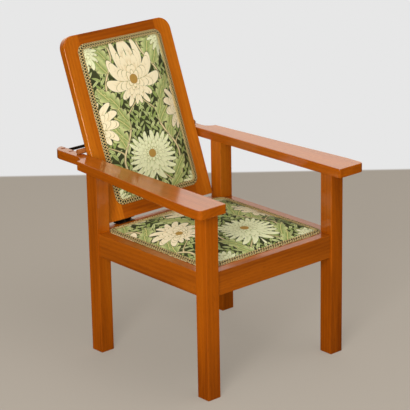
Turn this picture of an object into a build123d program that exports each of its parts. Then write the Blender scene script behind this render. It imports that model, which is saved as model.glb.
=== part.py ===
from build123d import *
from math import asin, atan2, cos, degrees, hypot, radians, sin, sqrt
import os

# A mission armchair with a hinged back that leans on a loose wooden rod in the notches of its arms.
# Millimetres, +Z up, the chair faces -Y. The origin is on the floor, under the middle of the whole chair.

# Posts and seat frame
leg_side = 47.0
leg_height = 572.0
frame_width = 545.0
frame_depth = 541.0
leg_edge = 2.0
rail_height = 73.0
rail_setback = 4.0
rail_top = 386.0
rail_edge = 2.5
tenon_length = 24.0
tenon_thickness = 14.0
tenon_shoulder = 8.0
joint_gap = 0.15

# Arms
arm_thickness = 28.0
arm_front_overhang = 35.0
arm_front_width = 100.0
arm_side_overhang = 51.5
arm_parallel_length = 66.0
arm_tail_length = 127.0
arm_inner_taper = 10.0
arm_outer_taper = 45.0
arm_cove_width = 29.5
arm_cove_length = 32.0
arm_tail_radius = 34.0
arm_outer_corner = 12.0
arm_inner_corner = 6.0
arm_small_corner = 4.0
arm_edge = 2.5
dowel_radius = 5.0
dowel_length = 40.0
dowel_in_arm = 17.0
dowel_spacing = 23.0

# Rod, notches and tie rod
rod_radius = 8.0
rod_end_chamfer = 1.0
rod_end_gap = 1.0
moving_gap = 0.4
notch_width = 7.0
notch_length = 22.0
notch_depth = 9.0
notch_pitch = 41.5
notch_count = 3
tie_radius = 4.75
tie_behind_notch = 13.5
arm_behind_tie = 11.0
tie_in_arm = 20.0
tie_gap = 0.05

# Back frame
rest_lean = 20.6
back_side_gap = 14.5
back_height = 579.0
back_thickness = 24.0
stile_width = 62.0
top_rail_width = 47.0
bottom_rail_width = 57.0
back_corner_radius = 40.0
back_edge = 3.0
back_tenon_length = 25.0
back_tenon_thickness = 8.0
back_tenon_shoulder = 9.0

# Butt hinges
hinge_length = 63.0
hinge_inset = 72.0
leaf_width = 21.0
leaf_thickness = 2.0
leaf_gap = 1.0
knuckle_radius = 3.4
knuckle_gap = 0.3
pin_radius = 2.0
pin_gap = 0.05
pin_head_radius = 3.0
pin_head_thickness = 1.2
hinge_screw_spacing = 23.0
hinge_screw_inset = 8.0

# Screws and tacks
screw_radius = 1.6
screw_head_radius = 3.2
screw_head_height = 1.6
screw_slot_width = 0.8
screw_slot_depth = 0.7
screw_length = 16.0
screw_gap = 0.1
block_screw_length = 42.0
tack_radius = 1.0
tack_head_radius = 4.0
tack_head_thickness = 1.0
tack_length = 11.0

# Corner blocks
block_side = 62.0
block_height = 38.0
block_drop = 20.0
block_tip = 8.0
block_pocket_radius = 4.5

# Upholstery
web_thickness = 1.5
web_width = 50.0
base_cloth_thickness = 0.8
cover_thickness = 1.2
cloth_gap = 0.3
gimp_width = 16.0
gimp_thickness = 2.5
gimp_edge = 0.9
seat_lap = 10.0
seat_corner_radius = 34.0
seat_crown = 34.0
back_lap = 15.0
back_panel_radius = 27.0
back_crown = 24.0
rear_rebate_depth = 3.0
rear_gimp_thickness = 1.4
dust_cloth_thickness = 0.8
dust_cloth_lap = 20.0
tack_count = 7
tack_margin = 38.0
cut_overrun = 1.0

# Each crown is a superellipse from the edge to a small flat on top: its power, its rings and its last angle
crown_power = 2.5
crown_rings = 9
crown_last_angle = 80

# The rod lies on the two edges of a notch that is narrower than the rod, against the back's rear face.
# Heights are from the floor, and runs are level distances behind the hinge axis.
arm_top = leg_height + arm_thickness
hinge_z = rail_top + leaf_thickness + leaf_gap
back_rear = knuckle_radius + knuckle_gap
lean = radians(rest_lean)
rod_z = arm_top + sqrt((rod_radius + moving_gap) ** 2 - (notch_width / 2) ** 2)
rod_rise = rod_z - hinge_z
rod_behind = rod_radius + moving_gap - back_rear
rod_run = (rod_behind + rod_rise * sin(lean)) / cos(lean)
last_run = rod_run + notch_pitch * (notch_count - 1)
tie_run = last_run + tie_behind_notch
arm_length = arm_front_overhang + frame_depth + tie_run + arm_behind_tie

# Where things stand, worked out from the sizes above
arm_front_y = -arm_length / 2
leg_front_y = arm_front_y + arm_front_overhang
leg_rear_y = leg_front_y + frame_depth
frame_y = leg_front_y + frame_depth / 2
half_width = frame_width / 2
back_width = frame_width - 2 * (leg_side + back_side_gap)
hinge_centre = back_width / 2 - hinge_inset
leg_x = half_width - leg_side / 2
leg_inner_x = half_width - leg_side
leg_inner_front_y = leg_front_y + leg_side
leg_inner_rear_y = leg_rear_y - leg_side
rail_thickness = leg_side - rail_setback
rail_bottom = rail_top - rail_height
rebate_depth = 2 * web_thickness + base_cloth_thickness

hinge_y = leg_rear_y
back_start = leaf_thickness + leaf_gap
back_front = back_rear + back_thickness
back_plane = Plane(origin=(0, hinge_y, hinge_z), x_dir=(1, 0, 0), z_dir=(0, -cos(lean), sin(lean)))

rod_y = hinge_y + rod_run
notch_ys = [rod_y + notch_pitch * step for step in range(notch_count)]
tie_y = hinge_y + tie_run
tie_z = leg_height + arm_thickness / 2

# The back's angle and the rod's place along the back when the rod is in the last notch
last_lean = atan2(last_run, rod_rise) - asin(rod_behind / hypot(last_run, rod_rise))
rod_start = rod_run * sin(lean) + rod_rise * cos(lean)
rod_end = last_run * sin(last_lean) + rod_rise * cos(last_lean)
recline_range = last_lean - lean
rod_travel = rod_end - rod_start

# The arm's inner edge closes in towards the tail
arm_inner_front = half_width + arm_side_overhang - arm_front_width
arm_inner_rear = arm_inner_front - arm_inner_taper
notch_end_x = arm_inner_rear + notch_length

# The panels' outlines inside the wooden frames
seat_half_x = leg_inner_x + seat_lap
seat_half_y = (leg_inner_rear_y - leg_inner_front_y) / 2 + seat_lap
back_opening_x = back_width / 2 - stile_width
back_opening_low = back_start + bottom_rail_width
back_opening_high = back_start + back_height - top_rail_width
back_panel_half_x = back_opening_x + back_lap
back_panel_half_w = (back_opening_high - back_opening_low) / 2 + back_lap
back_panel_w = (back_opening_high + back_opening_low) / 2

sides = (("left", -1), ("right", 1))
os.makedirs("parts", exist_ok=True)


def save(part, name):
    """Label a finished piece and write it to its own file."""
    part.label = name
    export_step(part, f"parts/{name}.step")


def rail_tenon(high):
    """Bottom and top of a rail's tenon: the rails that meet in a post sit one above the other."""
    height = (rail_height - 3 * tenon_shoulder) / 2
    bottom = rail_bottom + tenon_shoulder + (height + tenon_shoulder if high else 0)
    return bottom, bottom + height


def tenon_block(span_x, span_y, high, gap):
    """One box that reaches from tenon end to tenon end, in a pair of posts, with its gap all round."""
    bottom, top = rail_tenon(high)
    mode = Mode.ADD if gap == 0 else Mode.SUBTRACT
    Box(span_x + 2 * gap, span_y + 2 * gap, top - bottom + 2 * gap, mode=mode)


def sheet(centre_y, half_x, half_y, radius, bottom, thickness):
    """A flat sheet with rounded corners, at a height above the plane that it is added to."""
    with BuildPart() as flat:
        with BuildSketch(Plane.XY.offset(bottom)):
            with Locations((0, centre_y)):
                RectangleRounded(2 * half_x, 2 * half_y, radius)
        extrude(amount=thickness)
    return flat.part


def crowned_form(centre_y, half_x, half_y, radius, crown):
    """A stuffed form: rounded rings that rise steeply at the edge and close over the crown, lofted."""
    small_half = min(half_x, half_y)
    power = 2 / crown_power
    full_rise = sin(radians(crown_last_angle)) ** power
    with BuildPart() as form:
        for ring in range(crown_rings):
            angle = radians(crown_last_angle * ring / (crown_rings - 1))
            inset = small_half * (1 - cos(angle) ** power)
            height = crown * sin(angle) ** power / full_rise
            ring_radius = min(radius + inset / 3, (small_half - inset) / 2)
            with BuildSketch(Plane.XY.offset(height)):
                with Locations((0, centre_y)):
                    RectangleRounded(2 * (half_x - inset), 2 * (half_y - inset), ring_radius)
        loft(ruled=True)
    return form.part


def seat_rebate(depth):
    """The shallow recess in the tops of the rails for the ends of the webbing and the base cloth."""
    radius = seat_corner_radius - cloth_gap
    return sheet(frame_y, seat_half_x - cloth_gap, seat_half_y - cloth_gap, radius, rail_top - depth, depth)


def tack_places(rail):
    """Where the tacks of the dust cloth go into the underside of one rail, evenly between its posts."""
    shares = [2 * step / (tack_count - 1) - 1 for step in range(tack_count)]
    inset = dust_cloth_lap / 2
    if rail in ("front", "rear"):
        y = leg_inner_front_y - inset if rail == "front" else leg_inner_rear_y + inset
        return [(share * (leg_inner_x - tack_margin), y, rail_bottom) for share in shares]
    x = (leg_inner_x + inset) * (1 if rail == "right" else -1)
    half_span = frame_depth / 2 - leg_side - tack_margin
    return [(x, frame_y + share * half_span, rail_bottom) for share in shares]


def tack_holes(rail):
    """Holes for those tacks, from the underside up."""
    with Locations(*[Location(place, (180, 0, 0)) for place in tack_places(rail)]):
        Hole(tack_radius + screw_gap, depth=tack_length)


def screw_solid(plane, length):
    """A slotted countersunk screw whose head is flush with the plane, driven in along the plane's normal."""
    with BuildPart() as screw:
        with BuildSketch(Plane(plane.origin, x_dir=plane.x_dir, z_dir=-plane.y_dir)):
            with BuildLine():
                Polyline(
                    (0, 0),
                    (screw_head_radius, 0),
                    (screw_radius, screw_head_height),
                    (screw_radius, length - screw_radius),
                    (0, length),
                    close=True,
                )
            make_face()
        revolve(axis=Axis(plane.origin, plane.z_dir))
        with BuildSketch(plane):
            Rectangle(2 * screw_head_radius, screw_slot_width)
        extrude(amount=screw_slot_depth, mode=Mode.SUBTRACT)
    return screw.part


# Posts: square legs, with mortises for the rails and two dowel holes under each arm
cross_rail_y = {
    "front": leg_front_y + rail_setback + rail_thickness / 2,
    "rear": leg_rear_y - rail_setback - rail_thickness / 2,
}
leg_y = {"front": leg_front_y + leg_side / 2, "rear": leg_rear_y - leg_side / 2}
dowel_ys = {place: [leg_y[place] - dowel_spacing / 2, leg_y[place] + dowel_spacing / 2] for place in leg_y}
side_rail_x = half_width - rail_setback - rail_thickness / 2
side_span = frame_depth - 2 * leg_side + 2 * tenon_length
cross_span = 2 * (leg_inner_x + tenon_length)
for place in leg_y:
    for side, sign in sides:
        with BuildPart() as leg:
            with BuildSketch():
                with Locations((sign * leg_x, leg_y[place])):
                    Rectangle(leg_side, leg_side)
            extrude(amount=leg_height)
            fillet(leg.edges().filter_by(Axis.Z), leg_edge)
            chamfer(leg.faces().sort_by(Axis.Z)[0].edges(), leg_edge / 2)
            with Locations((0, cross_rail_y[place], sum(rail_tenon(True)) / 2)):
                tenon_block(cross_span, tenon_thickness, True, joint_gap)
            with Locations((sign * side_rail_x, frame_y, sum(rail_tenon(False)) / 2)):
                tenon_block(tenon_thickness, side_span, False, joint_gap)
            with Locations(*[(sign * leg_x, y, leg_height) for y in dowel_ys[place]]):
                Hole(dowel_radius + joint_gap, depth=dowel_length - dowel_in_arm + joint_gap)
        save(leg.part, f"{place}_leg_{side}")

# Where the corner blocks' screws go: one from each block into the front or rear rail, one into the side rail
block_top = rail_top - block_drop
cross_screw_z = block_top - block_height / 3
side_screw_z = block_top - 2 * block_height / 3
head_seat = block_side / 3
grip = block_screw_length - head_seat
rail_inner_ys = ((leg_inner_front_y, 1), (leg_inner_rear_y, -1))
corners = [(y, turn, sign) for y, turn in rail_inner_ys for side, sign in sides]

# Front and rear rails: a tenon at each end, and a shallow recess along the inner top edge for the webbing
for place, turn, inner_y in (("front", 1, leg_inner_front_y), ("rear", -1, leg_inner_rear_y)):
    with BuildPart() as rail:
        with Locations((0, cross_rail_y[place], rail_top - rail_height / 2)):
            Box(2 * leg_inner_x, rail_thickness, rail_height)
        outer_face = rail.faces().sort_by(Axis((0, 0, 0), (0, -turn, 0)))[-1]
        fillet(outer_face.edges().filter_by(Axis.X), rail_edge)
        with Locations((0, cross_rail_y[place], sum(rail_tenon(True)) / 2)):
            tenon_block(cross_span, tenon_thickness, True, 0)
        add(seat_rebate(web_thickness + base_cloth_thickness), mode=Mode.SUBTRACT)
        tack_holes(place)
        for sign in (-1, 1):
            start = (sign * (leg_inner_x - head_seat), inner_y, cross_screw_z)
            with Locations(Location(start, (-90 * turn, 0, 0))):
                Hole(screw_radius + screw_gap, depth=grip)
        if place == "rear":
            for centre in (-hinge_centre, hinge_centre):
                for step in (-1, 0, 1):
                    x = centre + step * hinge_screw_spacing
                    with Locations((x, hinge_y - back_rear - hinge_screw_inset, rail_top)):
                        Hole(screw_radius + screw_gap, depth=screw_length)
    save(rail.part, f"{place}_rail")

# Side rails
for side, sign in sides:
    with BuildPart() as rail:
        with Locations((sign * side_rail_x, frame_y, rail_top - rail_height / 2)):
            Box(rail_thickness, frame_depth - 2 * leg_side, rail_height)
        outer_face = rail.faces().sort_by(Axis((0, 0, 0), (sign, 0, 0)))[-1]
        fillet(outer_face.edges().filter_by(Axis.Y), rail_edge)
        with Locations((sign * side_rail_x, frame_y, sum(rail_tenon(False)) / 2)):
            tenon_block(tenon_thickness, side_span, False, 0)
        add(seat_rebate(rebate_depth), mode=Mode.SUBTRACT)
        tack_holes(side)
        for y, turn in rail_inner_ys:
            start = (sign * leg_inner_x, y + turn * head_seat, side_screw_z)
            with Locations(Location(start, (0, -90 * sign, 0))):
                Hole(screw_radius + screw_gap, depth=grip)
    save(rail.part, f"side_rail_{side}")

with BuildPart() as corner_blocks:
    for y, turn, sign in corners:
        x = sign * leg_inner_x
        with BuildSketch(Plane.XY.offset(block_top - block_height)):
            with BuildLine():
                Polyline(
                    (x, y),
                    (x - sign * block_side, y),
                    (x - sign * block_side, y + turn * block_tip),
                    (x - sign * block_tip, y + turn * block_side),
                    (x, y + turn * block_side),
                    close=True,
                )
            make_face()
        extrude(amount=block_height)
        cross_screw = (x - sign * head_seat, y + turn * head_seat, cross_screw_z)
        side_screw = (x - sign * head_seat, y + turn * head_seat, side_screw_z)
        with Locations(Location(cross_screw, (-90 * turn, 0, 0)), Location(side_screw, (0, -90 * sign, 0))):
            CounterSinkHole(screw_radius + screw_gap, screw_head_radius + screw_gap, depth=head_seat)
        with Locations(Location(cross_screw, (90 * turn, 0, 0)), Location(side_screw, (0, 90 * sign, 0))):
            Hole(block_pocket_radius, depth=head_seat)
save(corner_blocks.part, "corner_blocks")

with BuildPart() as corner_block_screws:
    for y, turn, sign in corners:
        x = sign * (leg_inner_x - head_seat)
        cross_plane = Plane((x, y + turn * head_seat, cross_screw_z), x_dir=(1, 0, 0), z_dir=(0, -turn, 0))
        side_plane = Plane((x, y + turn * head_seat, side_screw_z), x_dir=(0, 1, 0), z_dir=(sign, 0, 0))
        add(screw_solid(cross_plane, block_screw_length))
        add(screw_solid(side_plane, block_screw_length))
save(corner_block_screws.part, "corner_block_screws")

# Arms: flat boards that widen to the front, with a cove behind the rear post, a rounded tail and the notches
arm_outer_x = half_width + arm_side_overhang
arm_rear_y = arm_front_y + arm_length
cove_x = arm_outer_x - arm_outer_taper
cove_end_y = arm_rear_y - arm_tail_length
cove_start_y = cove_end_y - arm_cove_length
tail_x = cove_x - arm_cove_width
tail_round_y = arm_rear_y - arm_tail_radius
with BuildPart() as arm_right:
    with BuildSketch(Plane.XY.offset(leg_height)):
        with BuildLine():
            Polyline(
                (tail_x - arm_tail_radius, arm_rear_y),
                (arm_inner_rear, arm_rear_y),
                (arm_inner_front, arm_front_y),
                (arm_outer_x, arm_front_y),
                (arm_outer_x, arm_front_y + arm_parallel_length),
                (cove_x, cove_start_y),
            )
            TangentArc((tail_x, cove_end_y), (cove_x, cove_start_y), tangent=(0, -1))
            Line((tail_x, cove_end_y), (tail_x, tail_round_y))
            CenterArc((tail_x - arm_tail_radius, tail_round_y), arm_tail_radius, 0, 90)
        make_face()
    extrude(amount=arm_thickness)
    for x, y, radius in (
        (arm_outer_x, arm_front_y, arm_outer_corner),
        (arm_inner_front, arm_front_y, arm_inner_corner),
        (arm_inner_rear, arm_rear_y, arm_small_corner),
        (cove_x, cove_start_y, arm_small_corner),
    ):
        corner_edges = arm_right.edges().filter_by(Axis.Z).sort_by_distance((x, y, tie_z))
        fillet(corner_edges[0], radius)
    fillet(arm_right.faces().sort_by(Axis.Z)[-1].edges(), arm_edge)
    chamfer(arm_right.faces().sort_by(Axis.Z)[0].edges(), arm_edge / 2)
    with Locations(*[((arm_inner_rear + notch_end_x) / 2 - cut_overrun, y, arm_top) for y in notch_ys]):
        Box(notch_length + 2 * cut_overrun, notch_width, 2 * notch_depth, mode=Mode.SUBTRACT)
    for y in dowel_ys["front"] + dowel_ys["rear"]:
        with Locations(Location((leg_x, y, leg_height), (180, 0, 0))):
            Hole(dowel_radius + joint_gap, depth=dowel_in_arm + joint_gap)
    with Locations(Location((arm_inner_rear - cut_overrun, tie_y, tie_z), (0, -90, 0))):
        Hole(tie_radius + tie_gap, depth=tie_in_arm + cut_overrun)
save(arm_right.part, "arm_right")

with BuildPart() as arm_left:
    add(mirror(arm_right.part, about=Plane.YZ))
save(arm_left.part, "arm_left")

dowel_z = leg_height + dowel_in_arm - dowel_length / 2
with BuildPart() as arm_dowels:
    for side, sign in sides:
        with Locations(*[(sign * leg_x, y, dowel_z) for y in dowel_ys["front"] + dowel_ys["rear"]]):
            Cylinder(dowel_radius, dowel_length)
save(arm_dowels.part, "arm_dowels")

with BuildPart(Plane(origin=(0, tie_y, tie_z), z_dir=(1, 0, 0))) as tie_rod:
    Cylinder(tie_radius, 2 * (arm_inner_rear + tie_in_arm - joint_gap))
save(tie_rod.part, "tie_rod")

with BuildPart(Plane(origin=(0, rod_y, rod_z), z_dir=(1, 0, 0))) as support_rod:
    Cylinder(rod_radius, 2 * (notch_end_x - rod_end_gap))
    chamfer(support_rod.edges().filter_by(GeomType.CIRCLE), rod_end_chamfer)
save(support_rod.part, "support_rod")

# Seat webbing in two layers, and the base cloth on it
web_end_x = seat_half_x - 2 * cloth_gap
web_end_y = seat_half_y - 2 * cloth_gap
seat_strap_steps = (-1.5, -0.5, 0.5, 1.5)
seat_strap_pitch = (2 * leg_inner_x - web_width) / len(seat_strap_steps)
lower_web_z = rail_top - base_cloth_thickness - 3 * web_thickness / 2
upper_web_z = lower_web_z + web_thickness
with BuildPart() as seat_webbing_across:
    with Locations(*[(0, frame_y + step * seat_strap_pitch, lower_web_z) for step in seat_strap_steps]):
        Box(2 * web_end_x, web_width, web_thickness)
save(seat_webbing_across.part, "seat_webbing_across")
with BuildPart() as seat_webbing_lengthwise:
    with Locations(*[(step * seat_strap_pitch, frame_y, upper_web_z) for step in seat_strap_steps]):
        Box(web_width, 2 * web_end_y, web_thickness)
save(seat_webbing_lengthwise.part, "seat_webbing_lengthwise")
with BuildPart(Plane.XY.offset(rail_top)) as seat_base_cloth:
    radius = seat_corner_radius - 2 * cloth_gap
    add(sheet(frame_y, web_end_x, web_end_y, radius, -base_cloth_thickness, base_cloth_thickness))
save(seat_base_cloth.part, "seat_base_cloth")


def stuffed_panel(name, plane, centre_y, half_x, half_y, radius, crown):
    """The stuffing, the cover with its tacked margin, and the gimp that hides the tacks."""
    cover = (half_x - gimp_width, half_y - gimp_width, radius - gimp_width)
    hollow = [size - cover_thickness for size in cover]
    stuffing = [size - cloth_gap for size in hollow]
    gimp_inner = [size + cloth_gap for size in cover]
    with BuildPart(plane) as padding:
        add(crowned_form(centre_y, *stuffing, crown - cover_thickness - cloth_gap))
    save(padding.part, f"{name}_padding")
    with BuildPart(plane) as panel_cover:
        add(crowned_form(centre_y, *cover, crown))
        add(sheet(centre_y, half_x, half_y, radius, 0, cover_thickness))
        add(crowned_form(centre_y, *hollow, crown - cover_thickness), mode=Mode.SUBTRACT)
    save(panel_cover.part, f"{name}_cover")
    with BuildPart(plane) as gimp:
        add(sheet(centre_y, half_x, half_y, radius, cover_thickness, gimp_thickness))
        add(sheet(centre_y, *gimp_inner, cover_thickness, gimp_thickness), mode=Mode.SUBTRACT)
        fillet(gimp.faces().sort_by(Axis(plane.origin, plane.z_dir))[-1].edges(), gimp_edge)
    save(gimp.part, f"{name}_gimp")


seat_floor = Plane.XY.offset(rail_top)
stuffed_panel("seat", seat_floor, frame_y, seat_half_x, seat_half_y, seat_corner_radius, seat_crown)

# Dust cloth under the seat, tacked to the rails and cut away round the posts
dust_half_x = leg_inner_x + dust_cloth_lap
dust_half_y = seat_half_y - seat_lap + dust_cloth_lap
corner_cut = dust_cloth_lap + cut_overrun
all_tacks = [place for rail in ("front", "rear", "left", "right") for place in tack_places(rail)]
with BuildPart() as seat_dust_cloth:
    with BuildSketch(Plane.XY.offset(rail_bottom - dust_cloth_thickness)):
        with Locations((0, frame_y)):
            Rectangle(2 * dust_half_x, 2 * dust_half_y)
            with GridLocations(2 * dust_half_x, 2 * dust_half_y, 2, 2):
                Rectangle(2 * corner_cut, 2 * corner_cut, mode=Mode.SUBTRACT)
    extrude(amount=dust_cloth_thickness)
    with Locations(*all_tacks):
        Hole(tack_radius + screw_gap, depth=tack_length)
save(seat_dust_cloth.part, "seat_dust_cloth")
tack_floor = rail_bottom - dust_cloth_thickness - tack_head_thickness
with BuildPart() as dust_cloth_tacks:
    for radius, height in ((tack_head_radius, tack_head_thickness), (tack_radius, tack_length)):
        with Locations(*[(x, y, tack_floor + height / 2) for x, y, z in all_tacks]):
            Cylinder(radius, height)
save(dust_cloth_tacks.part, "dust_cloth_tacks")

# Back frame: two stiles from bottom to top, with the rails tenoned between them
stile_x = back_width / 2 - stile_width / 2
back_top = back_start + back_height
frame_mid = (back_rear + back_front) / 2
rail_rows = {"bottom": (back_start, back_opening_low), "top": (back_opening_high, back_top)}
up_the_back = Axis(back_plane.origin, back_plane.y_dir)


def back_hinge_screw_holes():
    """Holes in the back's bottom edge for the screws of the upper hinge leaves."""
    for centre in (-hinge_centre, hinge_centre):
        for step in (-1, 0, 1):
            place = (centre + step * hinge_screw_spacing, back_start, back_rear + hinge_screw_inset)
            with Locations(Location(place, (90, 0, 0))):
                Hole(screw_radius + screw_gap, depth=screw_length)


def back_rebates(front_depth):
    """The recesses round the back's opening: for the webbing in front and for the rear cloth behind."""
    sizes = [size - cloth_gap for size in (back_panel_half_x, back_panel_half_w, back_panel_radius)]
    rebate = (back_panel_w, *sizes)
    add(sheet(*rebate, back_front - front_depth, front_depth), mode=Mode.SUBTRACT)
    add(sheet(*rebate, back_rear, rear_rebate_depth), mode=Mode.SUBTRACT)


def back_tenon(low, high, gap, mode):
    """The tenons of one of the back's rails, or with a gap all round the mortises for them."""
    length = 2 * (back_opening_x + back_tenon_length + gap)
    width = high - low - 2 * back_tenon_shoulder + 2 * gap
    with Locations((0, (low + high) / 2, frame_mid)):
        Box(length, width, back_tenon_thickness + 2 * gap, mode=mode)


for side, sign in sides:
    with BuildPart(back_plane) as stile:
        with BuildSketch(back_plane.offset(back_rear)) as outline:
            with Locations((sign * stile_x, back_start + back_height / 2)):
                Rectangle(stile_width, back_height)
            top_corner = back_plane.from_local_coords((sign * back_width / 2, back_top, back_rear))
            fillet(outline.vertices().sort_by_distance(top_corner)[0], back_corner_radius)
        extrude(amount=back_thickness)
        outer_face = stile.faces().sort_by(Axis((0, 0, 0), (sign, 0, 0)))[-1]
        fillet(outer_face.edges().filter_by(up_the_back), back_edge)
        back_rebates(rebate_depth)
        for low, high in rail_rows.values():
            back_tenon(low, high, joint_gap, Mode.SUBTRACT)
        back_hinge_screw_holes()
    save(stile.part, f"back_stile_{side}")

for row, (low, high) in rail_rows.items():
    with BuildPart(back_plane) as rail:
        with Locations((0, (low + high) / 2, frame_mid)):
            Box(2 * back_opening_x, high - low, back_thickness)
        if row == "top":
            fillet(rail.faces().sort_by(up_the_back)[-1].edges().filter_by(Axis.X), back_edge)
        back_tenon(low, high, 0, Mode.ADD)
        back_rebates(web_thickness + base_cloth_thickness)
        if row == "bottom":
            back_hinge_screw_holes()
    save(rail.part, f"back_{row}_rail")

# Back webbing, base cloth, stuffing and cover, and the cloth and gimp behind
back_web_end_x = back_panel_half_x - 2 * cloth_gap
back_web_end_w = back_panel_half_w - 2 * cloth_gap
back_inner_radius = back_panel_radius - 2 * cloth_gap
across_steps = (-2, -1, 0, 1, 2)
across_pitch = 2 * back_web_end_w / (len(across_steps) + 1)
upright_steps = (-1, 0, 1)
upright_pitch = 2 * back_opening_x / len(upright_steps)
rear_web_z = back_front - base_cloth_thickness - 3 * web_thickness / 2
front_web_z = rear_web_z + web_thickness
with BuildPart(back_plane) as back_webbing_across:
    with Locations(*[(0, back_panel_w + step * across_pitch, rear_web_z) for step in across_steps]):
        Box(2 * back_web_end_x, web_width, web_thickness)
save(back_webbing_across.part, "back_webbing_across")
with BuildPart(back_plane) as back_webbing_upright:
    with Locations(*[(step * upright_pitch, back_panel_w, front_web_z) for step in upright_steps]):
        Box(web_width, 2 * back_web_end_w, web_thickness)
save(back_webbing_upright.part, "back_webbing_upright")
back_sheet = (back_web_end_x, back_web_end_w, back_inner_radius)
back_ring = [size - gimp_width for size in back_sheet]
with BuildPart(back_plane) as back_base_cloth:
    add(sheet(back_panel_w, *back_sheet, back_front - base_cloth_thickness, base_cloth_thickness))
save(back_base_cloth.part, "back_base_cloth")
back_floor = back_plane.offset(back_front)
back_panel = (back_panel_w, back_panel_half_x, back_panel_half_w, back_panel_radius)
stuffed_panel("back", back_floor, *back_panel, back_crown)
rear_cloth_z = back_rear + rear_rebate_depth - base_cloth_thickness
with BuildPart(back_plane) as back_rear_cloth:
    add(sheet(back_panel_w, *back_sheet, rear_cloth_z, base_cloth_thickness))
save(back_rear_cloth.part, "back_rear_cloth")
rear_gimp_z = rear_cloth_z - rear_gimp_thickness
with BuildPart(back_plane) as back_rear_gimp:
    add(sheet(back_panel_w, *back_sheet, rear_gimp_z, rear_gimp_thickness))
    add(sheet(back_panel_w, *back_ring, rear_gimp_z, rear_gimp_thickness), mode=Mode.SUBTRACT)
save(back_rear_gimp.part, "back_rear_gimp")

# Butt hinges at the back's rear bottom edge: the lower leaves on the rear rail, the upper ones under the back
lower_plane = Plane(origin=(0, hinge_y, hinge_z), x_dir=(1, 0, 0), z_dir=(0, 1, 0))
third = hinge_length / 3
leaf_length = hinge_length - knuckle_gap
screw_depth = back_rear + hinge_screw_inset


def hinge_leaves(plane, forward, own_steps, other_steps):
    """Two leaves with their own knuckles and room for the others. The plane's y axis points into the wood."""
    with BuildPart(plane) as leaves:
        for centre in (-hinge_centre, hinge_centre):
            with Locations((centre, leaf_gap + leaf_thickness / 2, forward * leaf_width / 2)):
                Box(leaf_length, leaf_thickness, leaf_width)
            with Locations(*[Location((centre + step * third, 0, 0), (0, 90, 0)) for step in other_steps]):
                Cylinder(knuckle_radius + knuckle_gap, third + knuckle_gap, mode=Mode.SUBTRACT)
            with Locations(*[Location((centre + step * third, 0, 0), (0, 90, 0)) for step in own_steps]):
                Cylinder(knuckle_radius, third - knuckle_gap)
            with Locations(Location((centre, 0, 0), (0, 90, 0))):
                Cylinder(pin_radius + pin_gap, hinge_length, mode=Mode.SUBTRACT)
            for step in (-1, 0, 1):
                place = (centre + step * hinge_screw_spacing, leaf_gap, forward * screw_depth)
                with Locations(Location(place, (90, 0, 0))):
                    CounterSinkHole(screw_radius + screw_gap, screw_head_radius + screw_gap, depth=leaf_width)
    return leaves.part


def hinge_screws(plane, forward):
    """The screws of two leaves, with their heads flush with the leaves."""
    with BuildPart() as screws:
        for centre in (-hinge_centre, hinge_centre):
            for step in (-1, 0, 1):
                place = (centre + step * hinge_screw_spacing, leaf_gap, forward * screw_depth)
                head = Plane(plane.from_local_coords(place), x_dir=(1, 0, 0), z_dir=plane.y_dir)
                add(screw_solid(head, screw_length))
    return screws.part


save(hinge_leaves(lower_plane, -1, (-1, 1), (0,)), "hinge_leaves_lower")
save(hinge_leaves(back_plane, 1, (0,), (-1, 1)), "hinge_leaves_upper")
save(hinge_screws(lower_plane, -1), "hinge_screws_lower")
save(hinge_screws(back_plane, 1), "hinge_screws_upper")
pin_half = leaf_length / 2 + knuckle_gap
with BuildPart(lower_plane) as hinge_pins:
    for centre in (-hinge_centre, hinge_centre):
        with Locations(Location((centre, 0, 0), (0, 90, 0))):
            Cylinder(pin_radius, 2 * pin_half)
        for sign in (-1, 1):
            with Locations(Location((centre + sign * (pin_half + pin_head_thickness / 2), 0, 0), (0, 90, 0))):
                Cylinder(pin_head_radius, pin_head_thickness)
save(hinge_pins.part, "hinge_pins")

print(f"recline range {degrees(recline_range):.3f} deg, rod travel {rod_travel:.3f} mm")
print(f"rod travel per radian {rod_travel / recline_range:.4f} mm, last lean {degrees(last_lean):.2f} deg")
print(f"hinge axis y {hinge_y:.3f} z {hinge_z:.3f}, rod y {rod_y:.3f} z {rod_z:.3f}, notches {notch_ys}")
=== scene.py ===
from math import cos, pi, radians, sin

import bpy
import numpy as np
from mathutils import Matrix, Vector


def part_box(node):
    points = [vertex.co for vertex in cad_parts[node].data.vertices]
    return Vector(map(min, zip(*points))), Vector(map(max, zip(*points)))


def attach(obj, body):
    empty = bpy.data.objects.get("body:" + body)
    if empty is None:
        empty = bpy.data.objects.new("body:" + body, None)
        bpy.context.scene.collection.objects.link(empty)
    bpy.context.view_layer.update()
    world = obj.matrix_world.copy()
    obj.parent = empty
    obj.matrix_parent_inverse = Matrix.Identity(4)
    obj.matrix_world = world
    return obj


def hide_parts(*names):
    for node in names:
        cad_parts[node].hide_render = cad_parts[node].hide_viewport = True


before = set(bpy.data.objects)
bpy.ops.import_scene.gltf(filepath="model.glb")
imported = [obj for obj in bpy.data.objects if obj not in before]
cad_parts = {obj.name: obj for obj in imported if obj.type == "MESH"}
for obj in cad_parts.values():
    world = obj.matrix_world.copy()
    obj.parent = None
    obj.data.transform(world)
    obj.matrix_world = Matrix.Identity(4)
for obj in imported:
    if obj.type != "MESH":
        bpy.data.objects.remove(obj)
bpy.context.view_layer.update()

# Posts and seat frame: four square posts with four rails tenoned between them, straight-grained red-brown
# hardwood, planed smooth, with eased edges and a clear gloss varnish over a warm stain.


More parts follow.
